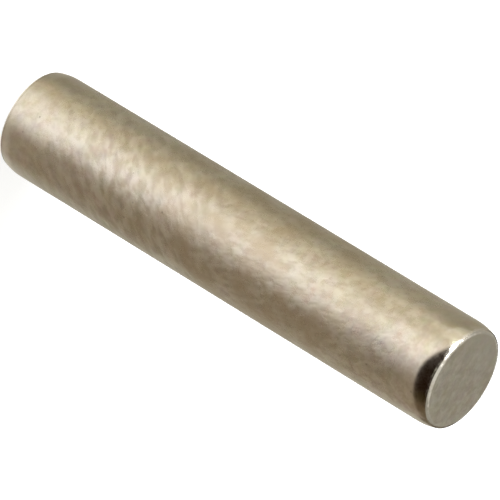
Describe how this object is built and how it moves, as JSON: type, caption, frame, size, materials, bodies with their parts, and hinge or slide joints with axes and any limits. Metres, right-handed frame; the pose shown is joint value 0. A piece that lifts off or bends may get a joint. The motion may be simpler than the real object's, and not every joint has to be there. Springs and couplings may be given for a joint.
{
  "type": "hinge stop pin",
  "caption": "Solid round pin with a ground flank and a rounded lead and flat face at each end, pressed into a hinge leaf so that its free end stops the other leaf.",
  "frame": {"origin": "centre of the lower face, on the pin's axis", "axes": "+Z along the pin's axis from the lower face to the upper face; X and Y lie across the pin and are alike"},
  "size_m": [0.0032, 0.0032, 0.0159],
  "materials": {
    "nickel_plate": "satin nickel plate over steel, with faint grinding marks"
  },
  "bodies": {
    "root": {"stop_pin": "nickel_plate"}
  },
  "joints": []
}
